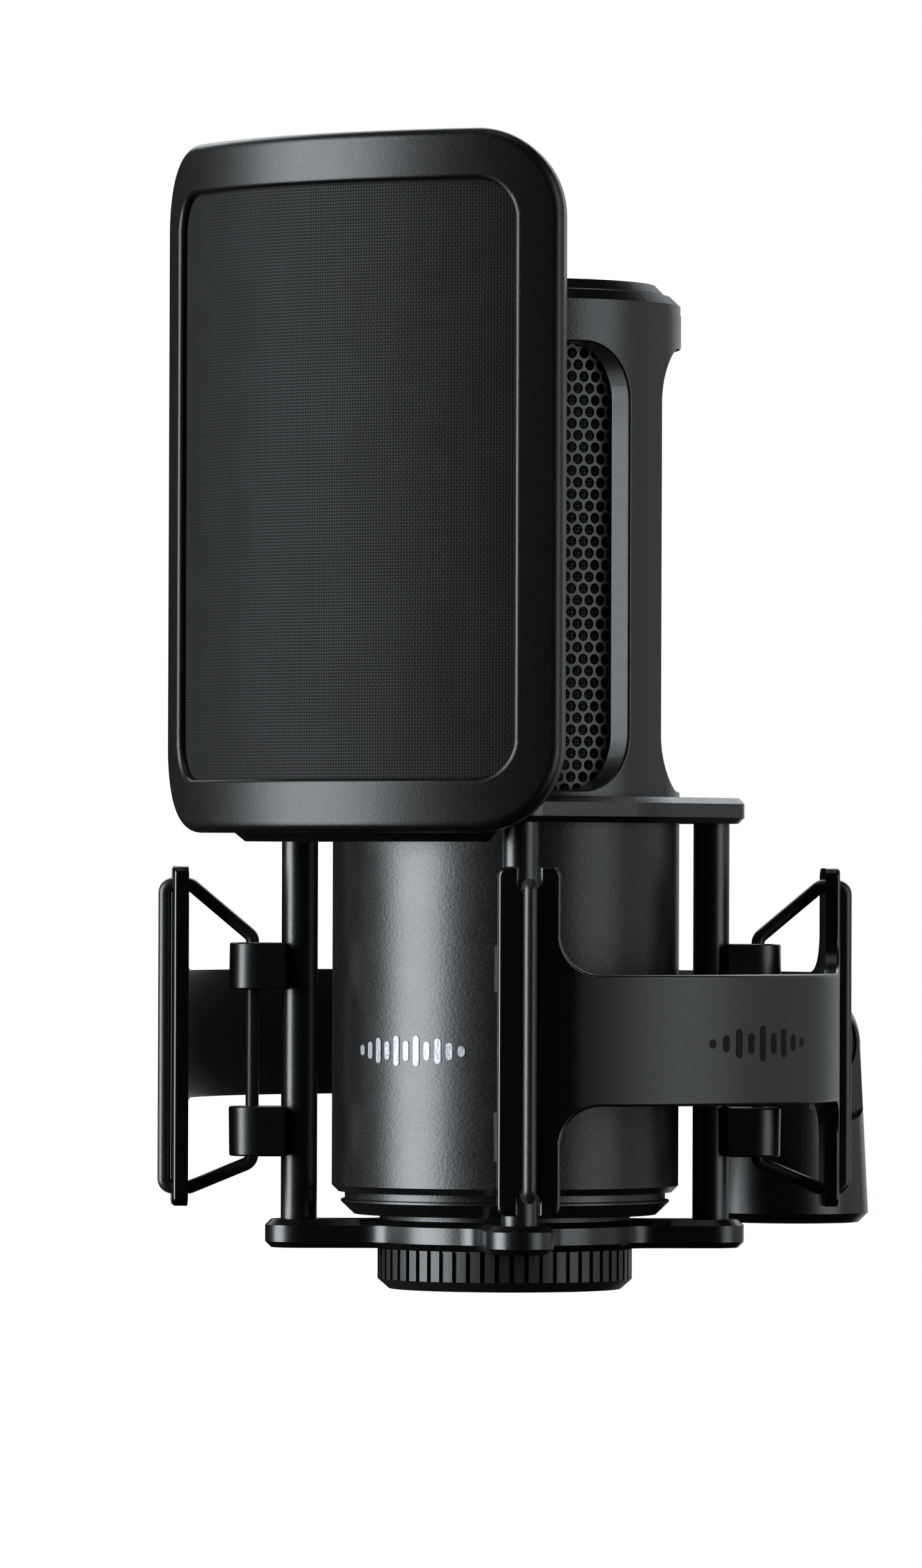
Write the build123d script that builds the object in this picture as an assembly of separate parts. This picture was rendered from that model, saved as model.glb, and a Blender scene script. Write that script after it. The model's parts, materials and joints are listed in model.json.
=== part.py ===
from build123d import *
import math
import os

# Side-address studio condenser microphone in an elastic shock mount, with a clip-on pop filter.
# Millimetres. +Z is up and the front of the microphone faces -Y.
# The origin is the centre of the stand thread's mouth, and the thread opens downwards.
# The microphone's own axis is vertical and stands in front of the stand's axis.

# ---------------------------------------------------------------- driving dimensions
MIC_AXIS_Y = -67.7          # the microphone's axis, measured from the stand's axis
RUNNING_GAP = 0.05          # radial clearance of a running fit

# stand adapter and tilt pivot
ADAPTER_BASE_R = 12.5
ADAPTER_CHAMFER = 1.5
ADAPTER_NECK = (11.2, 27.4)         # radius and height where the taper meets the dome
ADAPTER_DOME_MID = (9.5, 33.4)
ADAPTER_TOP = (5.0, 37.2)
THREAD_MINOR_R = 7.43               # 5/8 inch stand thread, minor radius
THREAD_LENGTH = 12.0
THREAD_RELIEF = 1.2
SLEEVE_R = 9.0
PIVOT_Z = 28.0
PIVOT_R = 3.0
BOLT_HEAD_R = 5.0
BOLT_HEAD_X = (6.6, 9.3)
BOLT_END_X = -18.5
CHEEK_FLAT_X = 9.6                  # the two side flats, round at the bottom
CHEEK_FLAT_R = 12.1
SLOT_HALF = 4.6                     # half the width of the slot between the two cheeks
TONGUE_HALF = 4.0
TONGUE_R = 8.5
TONGUE_GAP = 0.5                    # room around the tongue's round end
TILT_DOWN_DEG = 15.0
WASHER_T = 0.5
KNOB_R = 7.4
KNOB_LOBES = 6
KNOB_LOBE_R = 2.4
KNOB_LOBE_PITCH = 6.5
KNOB_H = 9.0
KNOB_HUB_R = 5.6
KNOB_HUB_H = 2.6
KNOB_START_X = -9.8
INSERT_R = 4.4
INSERT_LENGTH = 9.4

# outer bracket: one moulding of a band and four arms
FRAME_R = 48.5
FRAME_T = 2.2
ARM_WIDTH = 9.2
ARM_Z = (3.9, 55.3)
ARM_TIP_R = 1.5
ARM_EDGE_R = 0.5
BAND_Z = (20.0, 39.4)
BAND_FILLET = 6.0
NOTCH_R = 1.575
NOTCH_DEPTH = 3.8
PAD_SIZE = (14.0, 3.0, 15.2)
PAD_Y = -15.9
PAD_Z = 29.6
PAD_CORNER = 3.0
TONGUE_SCREW_Z = (24.2, 34.6)
TONGUE_SCREW_HEAD_T = 0.7
TONGUE_SCREW_END = 53.6             # distance of the screws' ends from the microphone's axis

# the four corners of the cage, as angles about the microphone's axis
CORNERS = {"front_right": -45.0, "rear_right": 45.0, "rear_left": 135.0, "front_left": 225.0}

# inner cage
POST_PITCH_R = 31.3
POST_R = 2.75
POST_Z = (1.9, 62.0)
TOP_PLATE_Z = (62.0, 65.9)
TOP_PLATE_R = 30.0
TOP_LOBE_R = 5.0
TOP_PLATE_GAP = 0.35                # room between the plate and the microphone's body
BOTTOM_PLATE_Z = (-2.4, 1.9)
BOTTOM_PLATE_R = 19.6
BOTTOM_LOBE_R = 5.1
LOBE_BLEND_R = 5.0
PLATE_CHAMFER = 0.9
SCREW_R = 1.5
SCREW_HEAD_R = 2.7
SCREW_HEAD_H = 1.4
SCREW_SINK = 0.2                    # how far a head sits below its plate's face
SCREW_IN_POST = 6.5
SCREW_SOCKET_R = 1.3
CLIP_INNER_R = 33.6
CLIP_NOSE_R = 4.1
CLIP_NOSE_PITCH = 37.9
CLIP_DRAFT_DEG = 0.8
CLIP_EDGE_R = 0.35
UPPER_CLIP_Z = (36.6, 43.75)
LOWER_CLIP_Z = (11.4, 18.95)
MAGNET_R = 1.0
MAGNET_LENGTH = 1.6
MAGNET_X = (-8.0, 8.0)
PLATE_MAGNET_Y = -27.7
SEAT_PAD_R = (15.6, 19.0)

# elastic loops
LOOP_R = 1.0
LOOP_RUN_R = 51.75                  # the outer run, on the outside of the arm
LOOP_CLIP_R = 38.45                 # the inner run, through the two clips
LOOP_BEND_R = 1.6
LOOP_END_BEND_R = 1.3
LOOP_LEAD = 0.85                    # from a clip's end to the corner of the loop's route

# microphone
MIC_TURN_DEG = 4.6          # the microphone's windows and mark face this far round towards +X
BODY_R = 26.3
BODY_WALL = 2.2
BODY_Z = (6.1, 64.0)
BODY_CHAMFER = 1.0
BASE_BOTTOM_Z = 2.7
BASE_SCREW_Y = (-21.0, 21.0)
BASE_SCREW_R = 1.2
BASE_SCREW_H = 2.4
STUB_R = 14.8
STUB_Z = -7.0
HOUSING_Z = (64.0, 139.0)
HOUSING_INNER_R = 22.5
WINDOW_Z = (66.85, 133.9)
WINDOW_HALF_DEG = 80.6
WINDOW_CORNER = 8.5
WINDOW_EDGE_R = 0.4
CAP_TOP_Z = 143.6
GRILLE_R = 22.4
GRILLE_T = 0.8
SCREEN_R = 20.8
SCREEN_T = 0.3
CAPSULE_Z = 102.0
CAPSULE_R = 17.0
CAPSULE_T = 7.0
CAPSULE_RIM = 3.5
CAPSULE_RECESS = 0.6
FOIL_T = 0.2
MOUNT_FLOOR_Z = (68.0, 71.0)
MOUNT_FLOOR_R = 20.0
RAIL_X = 18.5
RAIL_Z = (14.0, 68.0)
BOARD_SIZE = (38.4, 1.6, 50.0)
BOARD_Z = 42.0
CONNECTOR_R = 9.6
CONNECTOR_BORE_R = 8.4
CONNECTOR_Z = (-6.6, 12.0)
CONNECTOR_FLOOR_Z = 5.0
PIN_R = 1.2
PIN_PITCH_R = 3.7
PIN_TIP_Z = -5.5
BADGE_Z = 27.7
BADGE_TURN_DEG = 2.0
BADGE_BARS = (1.6, 2.6, 3.8, 2.8, 4.5, 3.0, 4.5, 2.8, 3.8, 2.6, 1.6)    # heights of the mark's bars
BADGE_BAR_WIDTH = 1.0
BADGE_BAR_STEP = 1.8
BADGE_RAISE = 0.12

# locking ring under the cage
RING_R = 19.3
RING_LIP_R = 17.6
RING_Z = (-8.6, -2.5)
RING_KNURL_Z = -7.1
RING_BORE_R = 14.87
RING_TEETH = 55
RING_GROOVE = (1.2, 0.75)           # radial and tangential size of one groove cutter

# pop filter: a curved panel whose centre line lies behind the microphone's axis
FILTER_CENTRE_Y = MIC_AXIS_Y + 22.0
FILTER_R = 68.0
FILTER_SPLIT_R = 64.5
FILTER_BACK_R = 61.0
FILTER_HALF_DEG = 35.7
FILTER_Z = (60.3, 164.2)
FILTER_CORNER = 13.0
FILTER_EDGE_R = 1.6
FILTER_BACK_EDGE_R = 1.0
OPENING_HALF_DEG = 29.6
OPENING_Z = (68.3, 156.6)
OPENING_CORNER = 6.0
OPENING_EDGE_R = 0.8
FRONT_MESH_R = (66.8, 66.4)
REAR_MESH_R = (62.4, 62.0)
FOOT_Z = (59.0, 67.0)
FOOT_WIDTH = 42.0
FOOT_BACK_Y = 26.0                  # how far behind the foot's box starts, from the microphone's axis
FOOT_CHAMFER = 1.8
FOOT_GAP = 0.3
FOOT_LIP_Z = 61.8
FOOT_MAGNET_Y = (-29.6, -32.6)


# ---------------------------------------------------------------- helpers
def disc(radius, low, high):
    """A solid cylinder about the Z axis, between two heights."""
    return Pos(0, 0, (low + high) / 2) * Cylinder(radius, high - low)


def ring(outer, inner, low, high):
    """A plain tube wall about the Z axis."""
    return disc(outer, low, high) - disc(inner, low - 1, high + 1)


def turned(*points):
    """A solid of revolution about Z, from (radius, height) points."""
    outline = Polyline(*[(r, 0, z) for r, z in points], close=True)
    return revolve(make_face(outline), Axis.Z)


def along_x(radius, start, end, z=0.0):
    """A cylinder along the X axis, between two X positions."""
    return Pos((start + end) / 2, 0, z) * Rot(0, 90, 0) * Cylinder(radius, abs(end - start))


def along_y(radius, start, end, x=0.0, z=0.0):
    """A cylinder along the Y axis, between two Y positions."""
    return Pos(x, (start + end) / 2, z) * Rot(90, 0, 0) * Cylinder(radius, abs(end - start))


def group(solids):
    """Several separate solids as one sub-part."""
    return Compound(children=[Part(solid.wrapped) for solid in solids])


def at_corners(radius):
    """The places of the four posts, at a given distance from the microphone's axis."""
    angles = [math.radians(angle) for angle in CORNERS.values()]
    return [Pos(radius * math.cos(a), radius * math.sin(a)) for a in angles]


def corner_edges(solid, heights):
    """The straight edges that lie level at one of the given heights."""
    return [e for e in solid.edges().filter_by(GeomType.LINE)
            if min(abs(e.center().Z - z) for z in heights) < 0.01]


def edges_on_radius(solid, radius):
    """The edges whose every point lies at one distance from the Z axis."""
    chosen = []
    for edge in solid.edges():
        samples = [edge @ t for t in (0.0, 0.25, 0.5, 0.75, 1.0)]
        if all(abs(math.hypot(p.X, p.Y) - radius) < 0.01 for p in samples):
            chosen.append(edge)
    return chosen


# ---------------------------------------------------------------- stand adapter and tilt pivot
def stand_adapter():
    """Tapered barrel with a domed top, two side flats and a slot for the bracket's tongue."""
    barrel = Polyline((0, 0, 0), (ADAPTER_BASE_R - ADAPTER_CHAMFER, 0, 0),
                      (ADAPTER_BASE_R, 0, ADAPTER_CHAMFER), (ADAPTER_NECK[0], 0, ADAPTER_NECK[1]))
    dome = ThreePointArc(*[(r, 0, z) for r, z in (ADAPTER_NECK, ADAPTER_DOME_MID, ADAPTER_TOP)])
    top = Polyline((ADAPTER_TOP[0], 0, ADAPTER_TOP[1]), (0, 0, ADAPTER_TOP[1]), (0, 0, 0))
    body = revolve(make_face(barrel + dome + top), Axis.Z)
    body -= disc(SLEEVE_R, -1, THREAD_LENGTH)
    body -= disc(THREAD_MINOR_R, THREAD_LENGTH - 1, THREAD_LENGTH + THREAD_RELIEF)
    body -= tongue_slot()
    for end in (-20, 20):
        body -= along_x(CHEEK_FLAT_R, math.copysign(CHEEK_FLAT_X, end), end, PIVOT_Z)
    body -= along_x(PIVOT_R, -20, 20, PIVOT_Z)
    return body - along_x(BOLT_HEAD_R + RUNNING_GAP, BOLT_HEAD_X[0], 20, PIVOT_Z)


def tongue_slot():
    """The space between the cheeks: open to the front and the top, and round at the bottom."""
    slot_r = TONGUE_R + TONGUE_GAP
    slot = along_x(slot_r, -SLOT_HALF, SLOT_HALF, PIVOT_Z)
    for tilt in (0, TILT_DOWN_DEG):
        reach = Pos(0, -10, 0) * Box(2 * SLOT_HALF, 20, 2 * slot_r)
        slot += Pos(0, 0, PIVOT_Z) * Rot(tilt, 0, 0) * reach
    return slot + Pos(0, slot_r - 15, PIVOT_Z + 10) * Box(2 * SLOT_HALF, 30, 20)


def thread_sleeve():
    """Metal sleeve that carries the stand thread."""
    return ring(SLEEVE_R, THREAD_MINOR_R, 0, THREAD_LENGTH)


def pivot_bolt():
    """Cross bolt with a sunk round head and a hexagon socket."""
    bolt = along_x(PIVOT_R, BOLT_END_X, BOLT_HEAD_X[0], PIVOT_Z)
    bolt += along_x(BOLT_HEAD_R, *BOLT_HEAD_X, PIVOT_Z)
    socket = extrude(RegularPolygon(2.3, 6), 2.0)
    return bolt - Pos(BOLT_HEAD_X[1] - 1.8, 0, PIVOT_Z) * Rot(0, 90, 0) * socket


def friction_washers():
    """One plastic washer on each side of the tongue."""
    washers = []
    for side in (-1, 1):
        middle = side * (TONGUE_HALF + SLOT_HALF) / 2
        faces = (middle - WASHER_T / 2, middle + WASHER_T / 2)
        washer = along_x(TONGUE_R - 0.3, *faces, PIVOT_Z)
        washers.append(washer - along_x(PIVOT_R + RUNNING_GAP, middle - 1, middle + 1, PIVOT_Z))
    return group(washers)


def tilt_knob():
    """Lobed hand knob on the adapter's -X side, hollow for its brass nut."""
    outline = Circle(KNOB_R)
    for lobe in range(KNOB_LOBES):
        outline += Rot(0, 0, lobe * 360 / KNOB_LOBES) * Pos(KNOB_LOBE_PITCH, 0) * Circle(KNOB_LOBE_R)
    grip = Pos(0, 0, KNOB_HUB_H) * extrude(outline, KNOB_H)
    grip = fillet(grip.edges().filter_by(Plane.XY), 0.7)
    knob = grip + extrude(Circle(KNOB_HUB_R), KNOB_HUB_H + 1) - extrude(Circle(INSERT_R), INSERT_LENGTH)
    return Pos(KNOB_START_X, 0, PIVOT_Z) * Rot(0, -90, 0) * knob


def knob_insert():
    """Brass nut moulded into the knob, turning on the bolt's end."""
    nut = along_x(INSERT_R, KNOB_START_X, KNOB_START_X - INSERT_LENGTH, PIVOT_Z)
    return nut - along_x(PIVOT_R + RUNNING_GAP, KNOB_START_X + 1, BOLT_END_X - 0.3, PIVOT_Z)


# ---------------------------------------------------------------- outer bracket
def arm_notch(tip_z, towards_tip):
    """Slot for an elastic loop, cut into one end of an arm."""
    seat_z = tip_z - towards_tip * (NOTCH_DEPTH - NOTCH_R)
    seat = along_x(NOTCH_R, FRAME_R - 4, FRAME_R + 6, seat_z)
    return seat + Pos(FRAME_R + 1, 0, seat_z + towards_tip * 5) * Box(10, 2 * NOTCH_R, 10)


def bracket_arm():
    """One upright arm towards +X, with a notch and two ears at each end."""
    shell = ring(FRAME_R + FRAME_T, FRAME_R, *ARM_Z)
    arm = shell & (Pos(FRAME_R, 0, sum(ARM_Z) / 2) * Box(12, ARM_WIDTH, 80))
    tips = [e for e in corner_edges(arm, ARM_Z) if abs(e.center().Y) > ARM_WIDTH / 2 - 0.05]
    arm = fillet(tips, ARM_TIP_R)
    return arm - arm_notch(ARM_Z[1], 1) - arm_notch(ARM_Z[0], -1)


def open_band():
    """The band that joins the arms, open over the front quarter."""
    band = ring(FRAME_R + FRAME_T, FRAME_R, *BAND_Z)
    front = make_face(Polyline((0, 0), (80, -80), (-80, -80), close=True))
    return band - extrude(front, ARM_Z[1])


def bracket_frame():
    """Band and four arms in one moulding, with rounded inside corners."""
    frame = open_band()
    for angle in CORNERS.values():
        frame += Rot(0, 0, angle) * bracket_arm()
    junctions = [e for e in corner_edges(frame, BAND_Z) if e.length < 1.2 * FRAME_T]
    frame = fillet(junctions, BAND_FILLET)
    frame = fillet(edges_on_radius(frame, FRAME_R + FRAME_T), ARM_EDGE_R)
    for z in TONGUE_SCREW_Z:
        frame -= along_y(SCREW_R, FRAME_R - 5, FRAME_R + 5, z=z)
        frame -= along_y(SCREW_HEAD_R, FRAME_R - 5, FRAME_R + 0.9, z=z)
    return frame


def swivel_tongue():
    """Pad screwed to the back of the band, with the tongue that enters the adapter's slot."""
    pad = Pos(0, PAD_Y, PAD_Z) * Box(*PAD_SIZE)
    pad = fillet(pad.edges().filter_by(Axis.Y), PAD_CORNER)
    pad -= Pos(0, MIC_AXIS_Y, PAD_Z) * Cylinder(FRAME_R + FRAME_T, 60)
    blade = Pos(0, PAD_Y / 2, PIVOT_Z) * Box(2 * TONGUE_HALF, -PAD_Y, 2 * TONGUE_R)
    blade += along_x(TONGUE_R, -TONGUE_HALF, TONGUE_HALF, PIVOT_Z)
    tongue = pad + blade - along_x(PIVOT_R + RUNNING_GAP, -10, 10, PIVOT_Z)
    for z in TONGUE_SCREW_Z:
        tongue -= along_y(SCREW_R, PAD_Y - 3, MIC_AXIS_Y + TONGUE_SCREW_END, z=z)
    return tongue


def tongue_screws():
    """Two flat-headed screws through the band into the tongue."""
    screws = []
    seat = FRAME_R + 0.9
    for z in TONGUE_SCREW_Z:
        screw = along_y(SCREW_HEAD_R, seat - TONGUE_SCREW_HEAD_T, seat, z=z)
        screw += along_y(SCREW_R, seat, TONGUE_SCREW_END, z=z)
        socket = Rot(-90, 0, 0) * extrude(RegularPolygon(1.1, 6), 1.0)
        screws.append(screw - Pos(0, seat - TONGUE_SCREW_HEAD_T - 0.5, z) * socket)
    return group(screws)


# ---------------------------------------------------------------- inner cage
def plate_outline(grow=0.0):
    """The top plate's outline, optionally grown by a clearance."""
    circles = Sketch() + Circle(TOP_PLATE_R + grow)
    circles += [place * Circle(TOP_LOBE_R + grow) for place in at_corners(POST_PITCH_R)]
    return make_hull(circles.edges())


def chamfered_plate(outline, heights):
    """A flat plate with chamfered outer edges."""
    plate = Pos(0, 0, heights[0]) * extrude(outline, heights[1] - heights[0])
    return chamfer(plate.edges().filter_by(Plane.XY), PLATE_CHAMFER)


def screw_holes(plate, face_z, inward):
    """Cut the four counterbored holes for the post screws, from the plate's outer face."""
    seat_z = face_z + inward * (SCREW_SINK + SCREW_HEAD_H)
    for place in at_corners(POST_PITCH_R):
        plate -= place * disc(SCREW_R, face_z - 10, face_z + 10)
        low, high = sorted((face_z - inward, seat_z))
        plate -= place * disc(SCREW_HEAD_R, low, high)
    return plate


def top_plate():
    """Rounded square plate around the microphone, with two magnets' holes at the front."""
    plate = chamfered_plate(plate_outline(), TOP_PLATE_Z)
    plate -= disc(BODY_R + TOP_PLATE_GAP, TOP_PLATE_Z[0] - 1, TOP_PLATE_Z[1] + 1)
    plate = screw_holes(plate, TOP_PLATE_Z[1], -1)
    for x in MAGNET_X:
        plate -= along_y(MAGNET_R, PLATE_MAGNET_Y - 4, PLATE_MAGNET_Y + MAGNET_LENGTH / 2, x, sum(TOP_PLATE_Z) / 2)
    return plate


def plate_magnets():
    """Two small magnets let into the top plate's front edge."""
    half = MAGNET_LENGTH / 2
    ends = (PLATE_MAGNET_Y - half, PLATE_MAGNET_Y + half)
    return group([along_y(MAGNET_R, *ends, x, sum(TOP_PLATE_Z) / 2) for x in MAGNET_X])


def bottom_plate():
    """Disc with four lobes that carry the posts."""
    outline = Sketch() + Circle(BOTTOM_PLATE_R)
    for angle in (45, 135):
        outline += Rot(0, 0, angle) * SlotCenterToCenter(2 * POST_PITCH_R, 2 * BOTTOM_LOBE_R)
    blends = [v for v in outline.vertices() if abs(math.hypot(v.X, v.Y) - BOTTOM_PLATE_R) < 0.1]
    plate = chamfered_plate(fillet(blends, LOBE_BLEND_R), BOTTOM_PLATE_Z)
    plate -= disc(STUB_R + 0.5, BOTTOM_PLATE_Z[0] - 1, BOTTOM_PLATE_Z[1] + 1)
    return screw_holes(plate, BOTTOM_PLATE_Z[0], 1)


def post():
    """Round post with a tapped hole in each end."""
    low, high = POST_Z
    body = disc(POST_R, low, high) - disc(SCREW_R, low, low + SCREW_IN_POST)
    body -= disc(SCREW_R, high - SCREW_IN_POST, high)
    return Pos(POST_PITCH_R, 0, 0) * body


def post_screws():
    """Eight socket screws, one in each end of each post."""
    screws = []
    for face_z, post_z, inward in ((TOP_PLATE_Z[1], POST_Z[1], -1), (BOTTOM_PLATE_Z[0], POST_Z[0], 1)):
        top = face_z + inward * SCREW_SINK
        seat = top + inward * SCREW_HEAD_H
        head = disc(SCREW_HEAD_R, *sorted((top, seat)))
        shank = disc(SCREW_R, *sorted((seat, post_z + inward * SCREW_IN_POST)))
        socket = Pos(0, 0, top) * extrude(RegularPolygon(SCREW_SOCKET_R, 6), 0.9, both=True)
        for place in at_corners(POST_PITCH_R):
            screws.append(place * (head + shank - socket))
    return group(screws)


def cord_clip(low, high):
    """Closed clip on the outside of a post, with a round nose and a channel for the loop."""
    outline = Pos(CLIP_NOSE_PITCH, 0) * Circle(CLIP_NOSE_R)
    depth = CLIP_NOSE_PITCH - CLIP_INNER_R
    outline += Pos(CLIP_INNER_R + depth / 2, 0) * Rectangle(depth, 2 * CLIP_NOSE_R)
    clip = Pos(0, 0, low) * extrude(outline, high - low, taper=CLIP_DRAFT_DEG)
    clip = fillet(clip.edges().filter_by(Plane.XY), CLIP_EDGE_R)
    clip -= Pos(POST_PITCH_R, 0, 0) * disc(POST_R, low - 1, high + 1)
    return clip - Pos(LOOP_CLIP_R, 0, 0) * disc(LOOP_R + RUNNING_GAP, low - 1, high + 1)


def upper_clip():
    """The upper clip, narrowing upwards."""
    return cord_clip(*UPPER_CLIP_Z)


def lower_clip():
    """The lower clip is upside down, narrowing downwards."""
    low, high = LOWER_CLIP_Z
    return mirror(cord_clip(-high, -low), Plane.XY)


def cord_loop():
    """One closed elastic loop: outside the arm, over its two notches and in through both clips."""
    top_seat = ARM_Z[1] - NOTCH_DEPTH + LOOP_R + RUNNING_GAP
    bottom_seat = ARM_Z[0] + NOTCH_DEPTH - LOOP_R - RUNNING_GAP
    upper = UPPER_CLIP_Z[1] + LOOP_LEAD
    lower = LOWER_CLIP_Z[0] - LOOP_LEAD
    inside = FRAME_R - 0.6
    route = [(LOOP_RUN_R, top_seat), (inside, top_seat), (LOOP_CLIP_R, upper),
             (LOOP_CLIP_R, lower), (inside, bottom_seat), (LOOP_RUN_R, bottom_seat)]
    bends = [LOOP_END_BEND_R] + 4 * [LOOP_BEND_R] + [LOOP_END_BEND_R]
    path = FilletPolyline(*[(r, 0, z) for r, z in route], radius=bends, close=True)
    start = Plane(origin=path @ 0, z_dir=path % 0)
    return sweep(start * Circle(LOOP_R), path)


def seat_pad():
    """Soft ring between the microphone's base and the bottom plate."""
    return ring(SEAT_PAD_R[1], SEAT_PAD_R[0], BOTTOM_PLATE_Z[1], BASE_BOTTOM_Z - RUNNING_GAP)


# ---------------------------------------------------------------- microphone
def top_cap():
    """Turned cap with a raised disc, a step and a chamfer."""
    low = HOUSING_Z[1]
    rim = BODY_R - 0.1
    return turned((0, low), (rim, low), (rim, 140.4), (24.6, 141.9), (23.8, 141.9),
                  (23.8, 142.1), (22.3, CAP_TOP_Z), (0, CAP_TOP_Z))


def window_cutter():
    """The space of one window in the housing's wall, towards +Y."""
    rays = [math.radians(90 + WINDOW_HALF_DEG * part) for part in (-1, -0.5, 0, 0.5, 1)]
    sector = Polyline((0, 0), *[(60 * math.cos(a), 60 * math.sin(a)) for a in rays], close=True)
    low, high = WINDOW_Z
    cutter = Pos(0, 0, low) * extrude(make_face(sector), high - low)
    cutter = cutter & ring(BODY_R + 2, HOUSING_INNER_R - 2, low, high)
    return fillet(corner_edges(cutter, WINDOW_Z), WINDOW_CORNER)


def housing():
    """Die-cast grille housing with a front and a rear window and two side pillars."""
    body = ring(BODY_R, HOUSING_INNER_R, *HOUSING_Z) - window_cutter() - Rot(0, 0, 180) * window_cutter()
    rims = [e for e in edges_on_radius(body, BODY_R) if WINDOW_Z[0] - 1 < e.center().Z < WINDOW_Z[1] + 1]
    return fillet(rims, WINDOW_EDGE_R)


def grille():
    """Perforated metal sleeve behind the windows."""
    return ring(GRILLE_R, GRILLE_R - GRILLE_T, HOUSING_Z[0] + 0.2, HOUSING_Z[1] - 0.2)


def inner_screen():
    """Fine mesh sleeve inside the grille."""
    return ring(SCREEN_R, SCREEN_R - SCREEN_T, HOUSING_Z[0] + 0.2, HOUSING_Z[1] - 0.2)


def capsule_ring():
    """The capsule's ring and backplate, standing on edge and facing front and rear."""
    half = CAPSULE_T / 2
    body = along_y(CAPSULE_R, -half, half, z=CAPSULE_Z)
    for face in (-half, half):
        floor = math.copysign(half - CAPSULE_RECESS, face)
        body -= along_y(CAPSULE_R - CAPSULE_RIM, floor, 2 * face, z=CAPSULE_Z)
    return body


def capsule_diaphragms():
    """Two thin diaphragms, one on each face of the capsule."""
    floor = CAPSULE_T / 2 - CAPSULE_RECESS
    radius = CAPSULE_R - CAPSULE_RIM - 0.1
    return group([along_y(radius, side * floor, side * (floor + FOIL_T), z=CAPSULE_Z) for side in (-1, 1)])


def capsule_mount():
    """Floor, stem and saddle that carry the capsule inside the housing."""
    stem = Pos(0, 0, 79) * Box(10, 8, 17) - along_y(CAPSULE_R + 1, -10, 10, z=CAPSULE_Z)
    saddle = along_y(CAPSULE_R + 2, -4, 4, z=CAPSULE_Z) - along_y(CAPSULE_R, -5, 5, z=CAPSULE_Z)
    saddle = saddle & (Pos(0, 0, CAPSULE_Z - 20) * Box(26, 20, 40))
    return disc(MOUNT_FLOOR_R, *MOUNT_FLOOR_Z) + stem + saddle


def body_tube():
    """Turned body of the microphone, below the housing."""
    tube = ring(BODY_R, BODY_R - BODY_WALL, *BODY_Z)
    bottom_rim = tube.edges().filter_by(GeomType.CIRCLE).group_by(Axis.Z)[0].sort_by(SortBy.RADIUS)[-1]
    return chamfer(bottom_rim, BODY_CHAMFER)


def mic_base():
    """Chamfered base with a threaded stub that passes through the cage's bottom plate."""
    low = BODY_Z[0]
    bore = BODY_R - BODY_WALL
    base = turned((CONNECTOR_R, BASE_BOTTOM_Z), (22.9, BASE_BOTTOM_Z), (24.9, 4.6), (24.9, 4.9),
                  (24.3, 5.1), (24.3, low), (bore, low), (bore, RAIL_Z[0]), (20, RAIL_Z[0]),
                  (20, 9), (CONNECTOR_R, 9))
    base += ring(STUB_R, CONNECTOR_R, STUB_Z, BASE_BOTTOM_Z + 0.5)
    for y in BASE_SCREW_Y:
        base -= Pos(0, y, 0) * disc(BASE_SCREW_R, BASE_BOTTOM_Z - 1, BASE_BOTTOM_Z + BASE_SCREW_H)
    return base


def base_screws():
    """Two small screws in the base's underside, at the front and the rear."""
    slot = Pos(0, 0, BASE_BOTTOM_Z) * Box(3, 0.4, 1.0)
    screw = disc(BASE_SCREW_R, BASE_BOTTOM_Z + 0.2, BASE_BOTTOM_Z + BASE_SCREW_H) - slot
    return group([Pos(0, y, 0) * screw for y in BASE_SCREW_Y])


def xlr_insert():
    """Shell and insulating floor of the three-pin connector."""
    shell = ring(CONNECTOR_R, CONNECTOR_BORE_R, *CONNECTOR_Z)
    return shell + disc(CONNECTOR_BORE_R, CONNECTOR_FLOOR_Z, CONNECTOR_Z[1])


def xlr_pins():
    """Three contact pins of the connector."""
    pin = Pos(0, PIN_PITCH_R, 0) * disc(PIN_R, PIN_TIP_Z, CONNECTOR_FLOOR_Z)
    pin = fillet(pin.edges().group_by(Axis.Z)[0], 0.5)
    return group([Rot(0, 0, turn) * pin for turn in (0, 120, 240)])


def circuit_frame():
    """Two rails on a foot ring that carry the circuit board inside the body."""
    middle = sum(RAIL_Z) / 2
    rail = Box(3, 8, RAIL_Z[1] - RAIL_Z[0])
    rails = Pos(-RAIL_X, 0, middle) * rail + Pos(RAIL_X, 0, middle) * rail
    groove = Pos(0, 0, middle) * Box(BOARD_SIZE[0] + 0.2, BOARD_SIZE[1] + 0.1, 60)
    return rails + ring(22.0, 18.0, RAIL_Z[0], RAIL_Z[0] + 2) - groove


def circuit_board():
    """Circuit board with a transformer, a chip and two capacitors, standing upright."""
    board = Pos(0, 0, BOARD_Z) * Box(*BOARD_SIZE)
    board += Pos(-8, -3.3, BOARD_Z + 10) * Box(9, 5, 12)
    board += Pos(8, -3.8, BOARD_Z - 10) * Box(12, 6, 10)
    board += Pos(6, -5.1, BOARD_Z + 10) * Cylinder(4.5, 14)
    return board + Pos(-9, -4.6, BOARD_Z - 14) * Cylinder(4.0, 12)


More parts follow.
